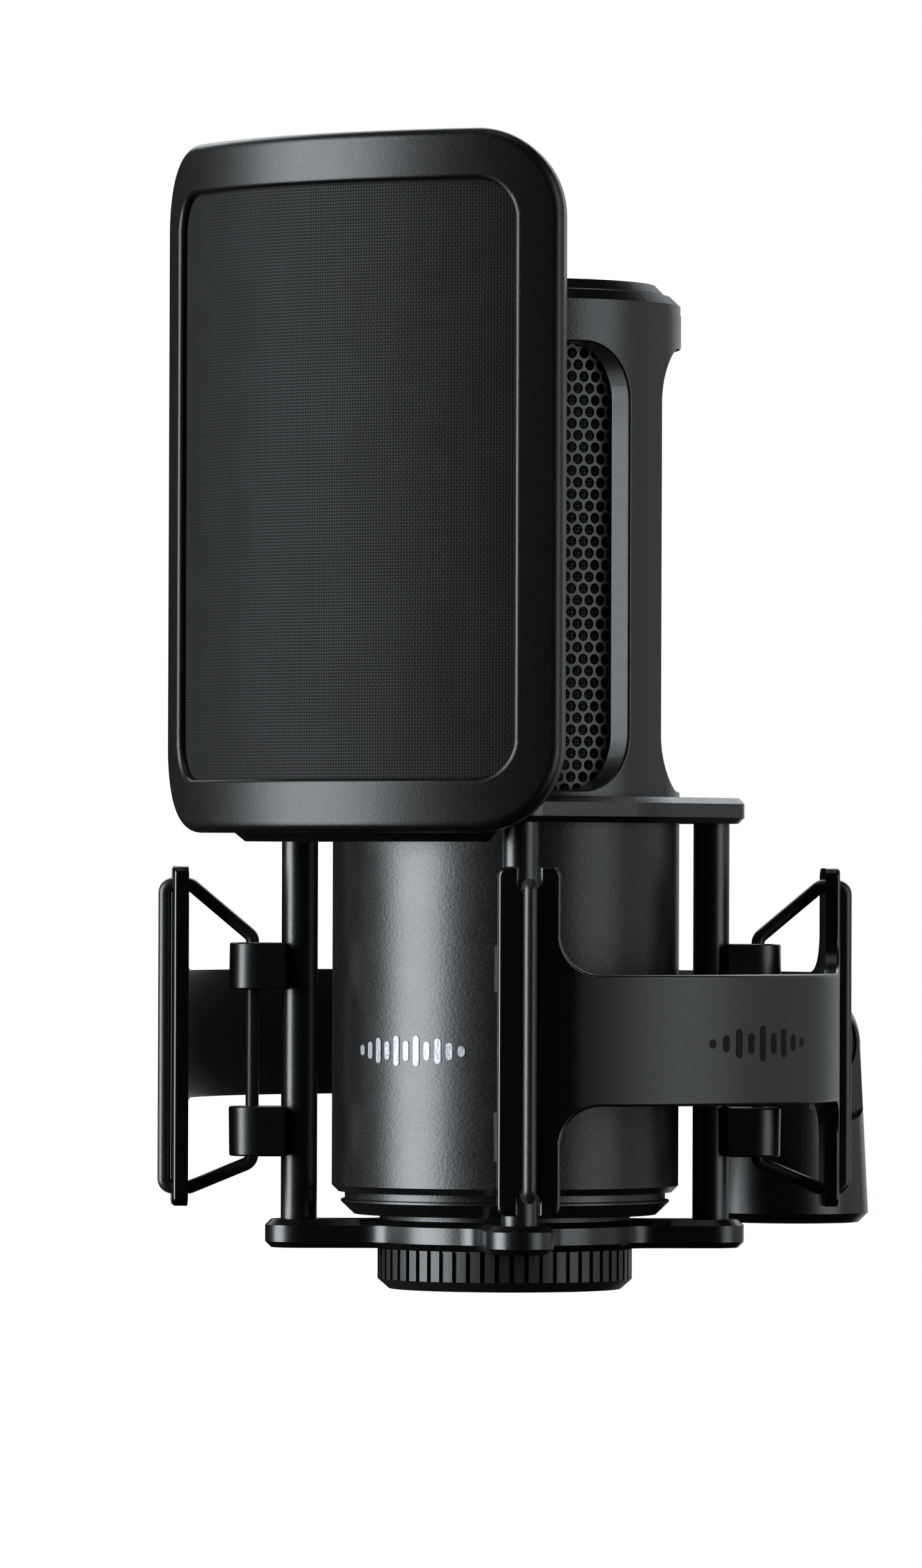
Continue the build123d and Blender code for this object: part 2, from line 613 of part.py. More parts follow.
def badge():
    """Raised generic mark on the body's front: a row of round-ended bars, like a sound wave."""
    middle = (len(BADGE_BARS) - 1) / 2
    skin = ring(BODY_R + BADGE_RAISE, BODY_R, BADGE_Z - 20, BADGE_Z + 20)
    bars = []
    for place, height in enumerate(BADGE_BARS):
        outline = Pos((place - middle) * BADGE_BAR_STEP, BADGE_Z) * SlotOverall(height, BADGE_BAR_WIDTH, 90)
        bars.append(Rot(0, 0, BADGE_TURN_DEG) * (extrude(Plane.XZ * outline, 2 * BODY_R) & skin))
    return group(bars)


# ---------------------------------------------------------------- locking ring
def locking_ring():
    """Knurled ring screwed onto the base's stub from below."""
    low, high = RING_Z
    body = turned((RING_BORE_R, high), (RING_R, high), (RING_R, RING_KNURL_Z), (RING_LIP_R, low), (RING_BORE_R, low))
    height = high - RING_KNURL_Z + 0.02
    groove = Pos(RING_R, 0, (high + RING_KNURL_Z) / 2) * Box(*RING_GROOVE, height)
    return body - [Rot(0, 0, tooth * 360 / RING_TEETH) * groove for tooth in range(RING_TEETH)]


# ---------------------------------------------------------------- pop filter
def arc_panel(outer, inner, half_deg, heights, corner):
    """A curved panel with radial ends and round corners, its middle towards -Y."""
    reach = 200.0
    end_x = reach * math.sin(math.radians(half_deg))
    end_y = -reach * math.cos(math.radians(half_deg))
    sector = make_face(Polyline((0, 0), (end_x, end_y), (-end_x, end_y), close=True))
    panel = Pos(0, 0, heights[0] - 1) * extrude(sector, heights[1] - heights[0] + 2)
    panel = panel & ring(outer, inner, *heights)
    return fillet(corner_edges(panel, heights), corner)


def opening(outer, inner):
    """The opening in the filter's frame, or a sheet of mesh that fills it."""
    return arc_panel(outer, inner, OPENING_HALF_DEG, OPENING_Z, OPENING_CORNER)


def filter_bezel():
    """Front half of the pop filter's frame, with a rounded rim and a softly rounded opening."""
    bezel = arc_panel(FILTER_R, FILTER_SPLIT_R, FILTER_HALF_DEG, FILTER_Z, FILTER_CORNER)
    bezel = fillet(edges_on_radius(bezel, FILTER_R), FILTER_EDGE_R) - opening(FILTER_R + 2, FILTER_SPLIT_R - 2)
    half_width = FILTER_R * math.sin(math.radians(OPENING_HALF_DEG)) + 0.1
    low, high = OPENING_Z
    rim = [e for e in edges_on_radius(bezel, FILTER_R)
           if abs(e.center().X) < half_width and low - 0.1 < e.center().Z < high + 0.1]
    return fillet(rim, OPENING_EDGE_R)


def filter_foot():
    """Block under the filter that meets the cage's top plate and hooks under its front edge."""
    to_mic = Pos(0, MIC_AXIS_Y - FILTER_CENTRE_Y, 0)
    low, high = FOOT_Z
    depth = 16.0
    foot = to_mic * Pos(0, -FOOT_BACK_Y - depth / 2, (low + high) / 2) * Box(FOOT_WIDTH, depth, high - low)
    foot = chamfer(foot.edges().filter_by(Axis.Y).group_by(Axis.Z)[0], FOOT_CHAMFER)
    foot = foot & turned((0, low), (FILTER_SPLIT_R - FOOT_CHAMFER, low), (FILTER_SPLIT_R, low + FOOT_CHAMFER),
                         (FILTER_SPLIT_R, high), (0, high))
    foot -= to_mic * disc(BODY_R + 0.9, low - 1, high + 1)
    return foot - to_mic * Pos(0, 0, FOOT_LIP_Z) * extrude(plate_outline(FOOT_GAP), 10)


def foot_magnets():
    """The two magnets in the foot, facing those in the cage's top plate."""
    to_mic = Pos(0, MIC_AXIS_Y - FILTER_CENTRE_Y, 0)
    return [to_mic * along_y(MAGNET_R, *FOOT_MAGNET_Y, x, sum(TOP_PLATE_Z) / 2) for x in MAGNET_X]


def filter_frame():
    """Rear half of the frame, with its foot."""
    frame = arc_panel(FILTER_SPLIT_R, FILTER_BACK_R, FILTER_HALF_DEG, FILTER_Z, FILTER_CORNER)
    frame = fillet(edges_on_radius(frame, FILTER_BACK_R), FILTER_BACK_EDGE_R)
    frame -= opening(FILTER_SPLIT_R + 2, FILTER_BACK_R - 2)
    frame += filter_foot()
    for magnet in foot_magnets():
        frame -= magnet
        frame -= Pos(0, 1.0, 0) * magnet
    return frame


# ---------------------------------------------------------------- all sub-parts
def stand_parts():
    """Everything built about the stand's axis."""
    makers = (stand_adapter, thread_sleeve, pivot_bolt, friction_washers, tilt_knob, knob_insert, swivel_tongue)
    return {make.__name__: make() for make in makers}


def mic_axis_parts():
    """Everything built about the microphone's axis."""
    straight_makers = (bracket_frame, tongue_screws, top_plate, plate_magnets, bottom_plate, post_screws,
                       seat_pad, mic_base, base_screws, xlr_insert, xlr_pins, locking_ring)
    turned_makers = (top_cap, housing, grille, inner_screen, capsule_ring, capsule_diaphragms, capsule_mount,
                     body_tube, circuit_frame, circuit_board, badge)
    parts = {make.__name__: make() for make in straight_makers}
    parts |= {make.__name__: Rot(0, 0, MIC_TURN_DEG) * make() for make in turned_makers}
    corner_makers = {"post": post, "cord_clip_upper": upper_clip, "cord_clip_lower": lower_clip,
                     "elastic_loop": cord_loop}
    for name, make in corner_makers.items():
        for corner, angle in CORNERS.items():
            parts[f"{name}_{corner}"] = Rot(0, 0, angle) * make()
    return {name: Pos(0, MIC_AXIS_Y, 0) * solid for name, solid in parts.items()}


def filter_parts():
    """Everything built about the pop filter's centre line."""
    parts = {"filter_bezel": filter_bezel(), "filter_frame": filter_frame(), "filter_magnets": group(foot_magnets()),
             "filter_mesh": opening(*FRONT_MESH_R), "filter_mesh_rear": opening(*REAR_MESH_R)}
    return {name: Pos(0, FILTER_CENTRE_Y, 0) * solid for name, solid in parts.items()}


os.makedirs("parts", exist_ok=True)
for name, solid in (stand_parts() | mic_axis_parts() | filter_parts()).items():
    export_step(solid, f"parts/{name}.step")
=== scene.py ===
import json
import math

import bpy
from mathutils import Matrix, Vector


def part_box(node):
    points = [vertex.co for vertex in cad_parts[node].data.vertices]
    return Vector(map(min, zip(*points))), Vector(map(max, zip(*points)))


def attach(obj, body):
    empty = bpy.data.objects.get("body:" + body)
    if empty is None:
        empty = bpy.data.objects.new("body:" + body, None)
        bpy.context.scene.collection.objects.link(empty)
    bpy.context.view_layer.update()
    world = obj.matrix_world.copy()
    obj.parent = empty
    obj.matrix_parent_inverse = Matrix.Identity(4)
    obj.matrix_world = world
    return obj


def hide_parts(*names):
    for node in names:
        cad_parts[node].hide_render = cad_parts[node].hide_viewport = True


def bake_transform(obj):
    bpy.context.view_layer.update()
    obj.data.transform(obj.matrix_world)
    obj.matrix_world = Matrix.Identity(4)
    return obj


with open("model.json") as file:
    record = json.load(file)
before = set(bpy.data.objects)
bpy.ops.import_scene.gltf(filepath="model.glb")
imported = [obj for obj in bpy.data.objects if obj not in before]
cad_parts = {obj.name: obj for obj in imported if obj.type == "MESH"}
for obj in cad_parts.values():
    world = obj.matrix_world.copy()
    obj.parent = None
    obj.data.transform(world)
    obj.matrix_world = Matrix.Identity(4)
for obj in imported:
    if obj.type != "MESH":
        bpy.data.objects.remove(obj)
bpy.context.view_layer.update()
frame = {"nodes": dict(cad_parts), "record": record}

# A black side-address studio microphone in an elastic shock mount, with a pop filter held by magnets.
# Metres, but for the few tables marked as millimetres. +Z is up and the microphone's front faces -Y.
# The corners' angles are in degrees from +X, about the microphone's axis. The camera's and the
# lights' are in degrees from the front, -Y, and positive towards +X.

MM = 0.001
NODES = frame["nodes"]
MATERIAL_SLOTS = {part["node"]: part["material_slot"] for part in frame["record"]["subparts"]}
CORNERS = {"front_right": -45.0, "rear_right": 45.0, "rear_left": 135.0, "front_left": 225.0}


def middle(name):
    """The centre of a CAD node's box."""
    low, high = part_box(name)
    return (low + high) / 2


MIC_AXIS = Vector((0.0, middle("body_tube").y, 0.0))


# ---------------------------------------------------------------- shader helpers
MIX_FIRST, MIX_SECOND, MIX_RESULT = 6, 7, 2         # the Mix node's sockets for colours


def node(tree, kind, inputs=None, **settings):
    """Adds a shader node. An input's value is a number, a colour or another node's output."""
    made = tree.nodes.new("ShaderNode" + kind)
    for key, value in settings.items():
        setattr(made, key, value)
    for key, value in (inputs or {}).items():
        if isinstance(value, bpy.types.NodeSocket):
            tree.links.new(value, made.inputs[key])
        else:
            made.inputs[key].default_value = value
    return made


def calc(tree, operation, first, second=0.0):
    """The output of one Math node."""
    return node(tree, "Math", {0: first, 1: second}, operation=operation).outputs[0]


def ramp(tree, value, low, high, start=0.0, end=1.0):
    """A value mapped from one span to another, smoothly and clamped."""
    mapped = node(tree, "MapRange", {"Value": value, "From Min": low, "From Max": high,
                                     "To Min": start, "To Max": end}, interpolation_type="SMOOTHSTEP")
    return mapped.outputs["Result"]


def mix(tree, factor, first, second):
    """The colour between two colours."""
    inputs = {"Factor": factor, MIX_FIRST: first, MIX_SECOND: second}
    return node(tree, "Mix", inputs, data_type="RGBA").outputs[MIX_RESULT]


def grey(level):
    """A near-neutral colour, a little cool."""
    return (level * 0.96, level, level * 1.04, 1.0)


def place(tree):
    """The point being shaded, in metres in the model's frame."""
    return node(tree, "TexCoord").outputs["Object"]


def noise(tree, feature, detail=2.0, seed=0.0):
    """Even noise whose features are about as large as given, in metres."""
    moved = node(tree, "VectorMath", {0: place(tree), 1: (seed, 2 * seed, 3 * seed)}, operation="ADD")
    made = node(tree, "TexNoise", {"Vector": moved.outputs[0], "Scale": 1.0 / feature,
                                   "Detail": detail, "Roughness": 0.55})
    return made.outputs["Fac"]


def cells(tree, feature):
    """Soft pebbles whose spacing is about as large as given, in metres."""
    made = node(tree, "TexVoronoi", {"Vector": place(tree), "Scale": 1.0 / feature, "Smoothness": 0.6},
                feature="SMOOTH_F1")
    return made.outputs["Distance"]


def surface(name, build):
    """A new material with one Principled shader. build makes the shader's inputs."""
    material = bpy.data.materials.new(name)
    material.use_nodes = True
    tree = material.node_tree
    tree.nodes.clear()
    shader = node(tree, "BsdfPrincipled", build(tree))
    node(tree, "OutputMaterial", {"Surface": shader.outputs[0]})
    return material


def bump(tree, height, depth):
    """A normal from a height between 0 and 1, where 1 stands depth metres proud."""
    return node(tree, "Bump", {"Height": height, "Distance": depth, "Strength": 1.0}).outputs["Normal"]


# the coats' and mouldings' slow changes: their sizes, the grey of the painted glint specks and the steps
# in roughness
PATCH_SIZE = 14 * MM
WEAR_SIZE = 5 * MM
PAINTED_GLINT_LEVEL = 0.30
WEAR = 0.008
GRAIN_WEAR = 0.03


def grained(level, rough, grain, depth, metallic=0.0, painted_glint=0.0, shine=0.5):
    """A coat or a moulding with an even fine grain, slight patches and tiny lighter specks painted in as
    glints.
    """
    def build(tree):
        fine = noise(tree, grain, detail=3.0)
        pebbles = calc(tree, "MULTIPLY", cells(tree, 1.6 * grain), 0.8)
        height = calc(tree, "ADD", fine, pebbles)
        patches = noise(tree, PATCH_SIZE, seed=0.3)
        paint = mix(tree, ramp(tree, patches, 0.35, 0.65), grey(level), grey(1.2 * level))
        # tiny lighter specks in the base colour: painted glints of the grain
        painted_glints = ramp(tree, noise(tree, 0.7 * grain, detail=0.0, seed=0.7), 0.66, 0.74, 0.0, painted_glint)
        paint = mix(tree, painted_glints, paint, grey(PAINTED_GLINT_LEVEL))
        worn = ramp(tree, noise(tree, WEAR_SIZE, seed=0.9), 0.3, 0.7, rough - WEAR, rough + WEAR)
        roughness = calc(tree, "ADD", worn, ramp(tree, fine, 0.3, 0.7, -GRAIN_WEAR, GRAIN_WEAR))
        return {"Base Color": paint, "Roughness": roughness, "Metallic": metallic,
                "Specular IOR Level": shine, "Normal": bump(tree, height, depth)}
    return build


METAL_LINES = 9000.0                # how many fine lines bare metal has to the metre


def brushed(colour, rough, along=(1.0, 1.0, 0.04)):
    """Bare metal with fine drawn or turned lines across one direction."""
    def build(tree):
        stretched = node(tree, "VectorMath", {0: place(tree), 1: along}, operation="MULTIPLY")
        lines = node(tree, "TexNoise", {"Vector": stretched.outputs[0], "Scale": METAL_LINES,
                                        "Detail": 2.0})
        streaks = lines.outputs["Fac"]
        darker = tuple(0.75 * c for c in colour[:3]) + (1.0,)
        stain = ramp(tree, noise(tree, 4 * MM), 0.3, 0.7)
        return {"Base Color": mix(tree, stain, colour, darker), "Metallic": 1.0,
                "Roughness": ramp(tree, streaks, 0.3, 0.7, rough - 0.06, rough + 0.08),
                "Normal": bump(tree, streaks, 0.004 * MM)}
    return build


def axis_parts(tree):
    """X and Y measured from the microphone's axis, and the height."""
    moved = node(tree, "VectorMath", {0: place(tree), 1: MIC_AXIS}, operation="SUBTRACT")
    split = node(tree, "SeparateXYZ", {0: moved.outputs[0]})
    return split.outputs


BAND_HEIGHTS = (20.0 * MM, 39.4 * MM)
BAND_EDGE = 1 * MM                  # how softly the band's finish turns into the arms'
ARM_SPAN = (0.945, 0.975)           # how nearly diagonal a point lies where an arm starts
BAND_ROUGH = 0.44
ARM_ROUGH = 0.24


def bracket_finish(tree):
    """Satin moulding on the band that turns glossier on the four upright arms."""
    x, y, z = axis_parts(tree)
    product = calc(tree, "MULTIPLY", calc(tree, "MULTIPLY", x, y), 2.0)
    square = calc(tree, "ADD", calc(tree, "MULTIPLY", x, x), calc(tree, "MULTIPLY", y, y))
    diagonal = calc(tree, "ABSOLUTE", calc(tree, "DIVIDE", product, square))
    band_low, band_high = BAND_HEIGHTS
    at_arm = ramp(tree, diagonal, *ARM_SPAN)
    below = ramp(tree, z, band_low - BAND_EDGE, band_low + BAND_EDGE, 1.0, 0.0)
    above = ramp(tree, z, band_high - BAND_EDGE, band_high + BAND_EDGE)
    glossy = calc(tree, "MAXIMUM", at_arm, calc(tree, "MAXIMUM", below, above))
    fine = noise(tree, 0.25 * MM, detail=3.0)
    satin = calc(tree, "ADD", BAND_ROUGH, ramp(tree, fine, 0.3, 0.7, -0.03, 0.03))
    gloss = calc(tree, "ADD", ARM_ROUGH, ramp(tree, noise(tree, 3 * MM), 0.3, 0.7, -0.02, 0.02))
    turned_satin = calc(tree, "MULTIPLY", satin, calc(tree, "SUBTRACT", 1.0, glossy))
    roughness = calc(tree, "ADD", turned_satin, calc(tree, "MULTIPLY", gloss, glossy))
    paint = mix(tree, glossy, grey(0.0022), grey(0.001))
    depth = bump(tree, calc(tree, "MULTIPLY", fine, calc(tree, "SUBTRACT", 1.15, glossy)), 0.006 * MM)
    return {"Base Color": paint, "Roughness": roughness, "Normal": depth}


def weave_height(tree, across, along, pitch):
    """The height of a plain weave, 0 in its holes and 1 on its threads, and its thread mask."""
    turns = 2 * math.pi / pitch
    first = calc(tree, "SINE", calc(tree, "MULTIPLY", across, turns))
    second = calc(tree, "SINE", calc(tree, "MULTIPLY", along, turns))
    thread = calc(tree, "MAXIMUM", first, second)
    half = calc(tree, "SINE", calc(tree, "MULTIPLY", across, turns / 2))
    other = calc(tree, "SINE", calc(tree, "MULTIPLY", along, turns / 2))
    crossing = calc(tree, "MULTIPLY", calc(tree, "MULTIPLY", half, other), 0.5)
    return calc(tree, "ADD", thread, crossing), ramp(tree, thread, 0.0, 0.7)


def weave(centre_y, radius, pitch, levels, rough, metallic, depth, shine):
    """Woven wire or cloth on a cylinder about an upright line through X = 0 and the given Y."""
    def build(tree):
        split = node(tree, "SeparateXYZ", {0: place(tree)}).outputs
        behind = calc(tree, "SUBTRACT", split["Y"], centre_y)
        arc = calc(tree, "MULTIPLY", calc(tree, "ARCTAN2", split["X"], behind), radius)
        height, threads = weave_height(tree, arc, split["Z"], pitch)
        uneven = ramp(tree, noise(tree, 9 * MM), 0.35, 0.65)
        thread_colour = mix(tree, uneven, grey(0.85 * levels[1]), grey(1.15 * levels[1]))
        return {"Base Color": mix(tree, threads, grey(levels[0]), thread_colour),
                "Roughness": ramp(tree, threads, 0.0, 1.0, 0.8, rough), "Metallic": metallic,
                "Specular IOR Level": shine,
                "Normal": bump(tree, height, depth)}
    return build


def elastic_finish(tree):
    """Woven elastic cord: satin black with a fine even braid."""
    braid = noise(tree, 0.18 * MM, detail=1.0)
    return {"Base Color": mix(tree, braid, grey(0.0015), grey(0.004)),
            "Roughness": ramp(tree, braid, 0.3, 0.7, 0.34, 0.46), "Sheen Weight": 0.05,
            "Normal": bump(tree, braid, 0.01 * MM)}


TRACK_WAVE = 2600.0                 # the board's tracks, in radians of their wave to the metre


def circuit_finish(tree):
    """Green solder mask with faint tracks."""
    split = node(tree, "SeparateXYZ", {0: place(tree)}).outputs
    wander = calc(tree, "MULTIPLY", noise(tree, 6 * MM, detail=0.0), 4.0)
    across = calc(tree, "MULTIPLY", split["X"], TRACK_WAVE)
    tracks = calc(tree, "SINE", calc(tree, "ADD", across, wander))
    copper = ramp(tree, tracks, 0.55, 0.8)
    return {"Base Color": mix(tree, copper, (0.004, 0.05, 0.018, 1.0), (0.012, 0.13, 0.045, 1.0)),
            "Roughness": 0.33, "Normal": bump(tree, copper, 0.03 * MM)}


def mark_finish(tree):
    """Silver print with the body coat's pebbles showing through it."""
    pebbles = cells(tree, 0.42 * MM)
    gaps = ramp(tree, noise(tree, 0.22 * MM, detail=1.0), 0.30, 0.42)
    return {"Base Color": mix(tree, gaps, grey(0.07), grey(0.25)), "Metallic": 0.35,
            "Roughness": 0.42, "Normal": bump(tree, pebbles, 0.03 * MM)}


def floor_finish(tree):
    """Pale paint that glows by itself, so the floor is as bright from every side."""
    glow = mix(tree, noise(tree, 30 * MM), grey(0.76), grey(0.82))
    return {"Base Color": grey(0.04), "Roughness": 0.9, "Specular IOR Level": 0.1,
            "Emission Color": glow, "Emission Strength": 1.0}


FILTER_R = 68.0 * MM
FRONT_MESH_R = 66.8 * MM
FILTER_CENTRE_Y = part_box("filter_mesh")[0].y + FRONT_MESH_R
SCREEN_R = 20.8 * MM
FRONT_WEAVE_PITCH = 0.48 * MM
SCREEN_WEAVE_PITCH = 0.55 * MM

FINISHES = {
    "mic_coat": grained(0.0016, 0.34, 0.32 * MM, 0.016 * MM, painted_glint=0.02),
    "cage_coat": grained(0.0015, 0.31, 0.25 * MM, 0.009 * MM, painted_glint=0.01),
    "bracket_moulding": bracket_finish,
    "satin_moulding": grained(0.0014, 0.33, 0.30 * MM, 0.006 * MM),
    "grip_moulding": grained(0.003, 0.46, 0.35 * MM, 0.012 * MM),
    "filter_moulding": grained(0.0016, 0.37, 0.22 * MM, 0.012 * MM, painted_glint=0.02, shine=0.36),
    "inner_plastic": grained(0.03, 0.5, 0.4 * MM, 0.010 * MM),
    "circuit_green": circuit_finish,
    "elastic": elastic_finish,
    "grille_metal": grained(0.022, 0.36, 0.20 * MM, 0.006 * MM, metallic=0.3),
    "woven_mesh": weave(FILTER_CENTRE_Y, FILTER_R, FRONT_WEAVE_PITCH, (0.004, 0.013),
                        rough=0.55, metallic=0.0, depth=0.02 * MM, shine=0.12),
    "silver_mark": mark_finish,
    "black_steel": brushed(grey(0.03), 0.34),
    "sleeve_steel": brushed(grey(0.42), 0.28, along=(1.0, 1.0, 1.0)),
    "magnet_plating": brushed(grey(0.62), 0.16),
    "brass_parts": brushed((0.62, 0.42, 0.17, 1.0), 0.26),
    "capsule_brass": brushed((0.66, 0.47, 0.20, 1.0), 0.32, along=(1.0, 0.05, 1.0)),
    "gold_foil": brushed((0.92, 0.66, 0.26, 1.0), 0.14, along=(1.0, 1.0, 1.0)),
}
MATERIALS = {slot: surface(slot, build) for slot, build in FINISHES.items()}
MATERIALS["screen_weave"] = surface(
    "screen_weave", weave(MIC_AXIS.y, SCREEN_R, SCREEN_WEAVE_PITCH, (0.001, 0.006),
                          rough=0.45, metallic=0.3, depth=0.03 * MM, shine=0.2))
MATERIALS["tone_mark"] = surface("tone_mark", grained(0.0008, 0.5, 0.3 * MM, 0.002 * MM, shine=0.12))
MATERIAL_OF_NODE = {"inner_screen": "screen_weave"}

for name, part in NODES.items():
    part.data.materials.clear()
    part.data.materials.append(MATERIALS[MATERIAL_OF_NODE.get(name, MATERIAL_SLOTS[name])])


# ---------------------------------------------------------------- mesh helpers
def piece(name, points, faces, material, body=None, smooth=True):
    """A new mesh piece that rides on a body, unless body is left out."""
    mesh = bpy.data.meshes.new(name)
    mesh.from_pydata([tuple(p) for p in points], [], faces)
    mesh.validate()
    mesh.update()
    mesh.materials.append(MATERIALS[material])
    mesh.polygons.foreach_set("use_smooth", [smooth] * len(mesh.polygons))
    made = bpy.data.objects.new(name, mesh)
    bpy.context.scene.collection.objects.link(made)
    if body:
        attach(made, body)
    return made


def around(angle, radius, z, centre_y=MIC_AXIS.y):
    """A point at an angle in radians from the +X direction about an upright line."""
    return Vector((radius * math.cos(angle), centre_y + radius * math.sin(angle), z))


def ring_faces(first, second, sides):
    """The faces between two rings of points, given where each ring starts in the list of points.

    Swapping the two rings turns the faces over.
    """
    return [(first + s, first + (s + 1) % sides, second + (s + 1) % sides, second + s)
            for s in range(sides)]


# ---------------------------------------------------------------- perforated grille
GRILLE_OUT_R = 22.4 * MM
GRILLE_IN_R = 21.95 * MM
HOLES_AROUND = 69
HOLE_R = 0.84 * MM
HOLE_SIDES = 12
GRILLE_ROWS = 39
GRILLE_DROP = 0.85 * MM             # how far the middle row lies below the housing's middle


def cell_point(angle, radius, z, reach, turn):
    """A point of a cell, at a distance and a direction from the cell's middle along the sheet."""
    return around(angle + reach * math.cos(turn) / GRILLE_OUT_R, radius, z + reach * math.sin(turn))


def grille_cell(angle, z, pitch):
    """One six-sided cell of the sheet with a round hole: its four rings of points."""
    turns = [2 * math.pi * k / HOLE_SIDES for k in range(HOLE_SIDES)]
    rim = [pitch / 2 if k % 2 == 0 else pitch / math.sqrt(3) for k in range(HOLE_SIDES)]
    hole = [HOLE_R] * HOLE_SIDES
    layers = ((GRILLE_OUT_R, rim), (GRILLE_OUT_R, hole), (GRILLE_IN_R, hole), (GRILLE_IN_R, rim))
    return [[cell_point(angle, radius, z, reach, turn) for reach, turn in zip(outline, turns)]
            for radius, outline in layers]


def build_grille():
    """The punched sheet behind both windows, with real round holes through its thickness."""
    pitch = 2 * math.pi * GRILLE_OUT_R / HOLES_AROUND
    row_step = pitch * math.sqrt(3) / 2
    low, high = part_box("housing")
    lowest = (low.z + high.z) / 2 - GRILLE_DROP - row_step * (GRILLE_ROWS - 1) / 2
    points, faces = [], []
    for row in range(GRILLE_ROWS):
        for column in range(HOLES_AROUND):
            angle = (column + 0.5 * (row % 2)) * 2 * math.pi / HOLES_AROUND
            rings = grille_cell(angle, lowest + row * row_step, pitch)
            first = len(points)
            points += [p for ring in rings for p in ring]
            for layer in range(len(rings) - 1):
                start = first + layer * HOLE_SIDES
                faces += ring_faces(start, start + HOLE_SIDES, HOLE_SIDES)
    made = piece("grille_perforated", points, faces, "grille_metal", "microphone", smooth=False)
    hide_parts("grille")


# ---------------------------------------------------------------- elastic loops
LOOP_R = 1.0 * MM
LOOP_SIDES = 16
# the corners of a loop's centre line as (radius, height), and how far each is rounded, in millimetres
LOOP_ROUTE = [(51.75, 52.55), (47.9, 52.55), (38.45, 44.6), (38.45, 10.55), (47.9, 6.65), (51.75, 6.65)]
LOOP_BENDS = [1.3, 1.6, 1.6, 1.6, 1.6, 1.3]
LOOP_STEP = 1.5 * MM
BEND_STEPS = 8


def bend_points(before, corner, after, radius):
    """The arc that rounds one corner of a loop, tangent to both of its runs."""
    first = (before - corner).normalized()
    second = (after - corner).normalized()
    half = first.angle(second) / 2
    reach = radius / math.tan(half)
    centre = corner + (first + second).normalized() * radius / math.sin(half)
    start = corner + first * reach - centre
    end = corner + second * reach - centre
    points = []
    for step in range(BEND_STEPS + 1):
        turned = start.lerp(end, step / BEND_STEPS)
        points.append(centre + turned.normalized() * radius)
    return points


def loop_line():
    """The closed centre line of a loop as (radius, height) points in metres."""
    corners = [Vector(p) * MM for p in LOOP_ROUTE]
    line = []
    for k, corner in enumerate(corners):
        line += bend_points(corners[k - 1], corner, corners[(k + 1) % len(corners)], LOOP_BENDS[k] * MM)
    return line


def divided(line, step):
    """The closed line with its long runs divided into short steps."""
    result = []
    for k, start in enumerate(line):
        end = line[(k + 1) % len(line)]
        pieces = max(1, round((end - start).length / step))
        result += [start.lerp(end, i / pieces) for i in range(pieces)]
    return result


def build_loop(corner, angle_deg):
    """One elastic loop as a round tube, stretched between the bracket and the cage."""
    angle = math.radians(angle_deg)
    outward = Vector((math.cos(angle), math.sin(angle), 0.0))
    sideways = Vector((-math.sin(angle), math.cos(angle), 0.0))
    line = divided(loop_line(), LOOP_STEP)
    count = len(line)
    points, faces = [], []
    for k, (radius, z) in enumerate(line):
        ahead = (line[(k + 1) % count] - line[k - 1]).normalized()
        normal = outward * ahead.y - Vector((0, 0, 1)) * ahead.x
        centre = MIC_AXIS + outward * radius + Vector((0, 0, z))
        for s in range(LOOP_SIDES):
            turn = 2 * math.pi * s / LOOP_SIDES
            points.append(centre + LOOP_R * (normal * math.cos(turn) + sideways * math.sin(turn)))
        faces += ring_faces(k * LOOP_SIDES, (k + 1) % count * LOOP_SIDES, LOOP_SIDES)
    made = piece("elastic_cord_" + corner, points, faces, "elastic")
    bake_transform(made)
    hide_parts("elastic_loop_" + corner)


# ---------------------------------------------------------------- threaded sleeve
SLEEVE_R = 9.0 * MM
THREAD_MINOR_R = 7.43 * MM
THREAD_MAJOR_R = 7.94 * MM
THREAD_PITCH = 25.4 / 27 * MM
THREAD_SIDES = 72
STEPS_PER_TURN = 8


def thread_radius(turn, z, low, high):
    """The bore's radius on a helical thread, which fades out at both ends."""
    phase = ((z - low) / THREAD_PITCH - turn) % 1.0
    crest = 1.0 - abs(2.0 * phase - 1.0)
    fade = min(1.0, (z - low) / THREAD_PITCH, (high - z) / THREAD_PITCH)
    return THREAD_MINOR_R + (THREAD_MAJOR_R - THREAD_MINOR_R) * crest * max(0.0, fade)


def build_sleeve():
    """The steel thread insert in the adapter's mouth, with a real helical thread."""
    low, high = (corner.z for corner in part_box("thread_sleeve"))
    steps = round((high - low) / THREAD_PITCH * STEPS_PER_TURN)
    rows = steps + 3                # the bore's steps + 1 rows, and one on the outside at each end
    points, faces = [], []
    for row in range(rows):
        z = min(max(low, low + (row - 1) * (high - low) / steps), high)
        outer = row in (0, rows - 1)
        for s in range(THREAD_SIDES):
            turn = s / THREAD_SIDES
            radius = SLEEVE_R if outer else thread_radius(turn, z, low, high)
            points.append(around(2 * math.pi * turn, radius, z, centre_y=0.0))
        faces += ring_faces((row + 1) % rows * THREAD_SIDES, row * THREAD_SIDES, THREAD_SIDES)
    made = piece("sleeve_threaded", points, faces, "sleeve_steel", "stand_mount", smooth=False)
    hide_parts("thread_sleeve")


# ---------------------------------------------------------------- tone mark on the bracket's band
MARK_BARS = (1.4, 2.6, 4.4, 3.2, 5.4, 3.2, 4.4, 2.6, 1.4)       # heights in millimetres
MARK_STEP = 2.6 * MM
MARK_BAR_WIDTH = 1.3 * MM
MARK_R = 50.7 * MM
MARK_HEIGHT_Z = 29.2 * MM
MARK_PROUD = 0.03 * MM
MARK_END_STEPS = 6


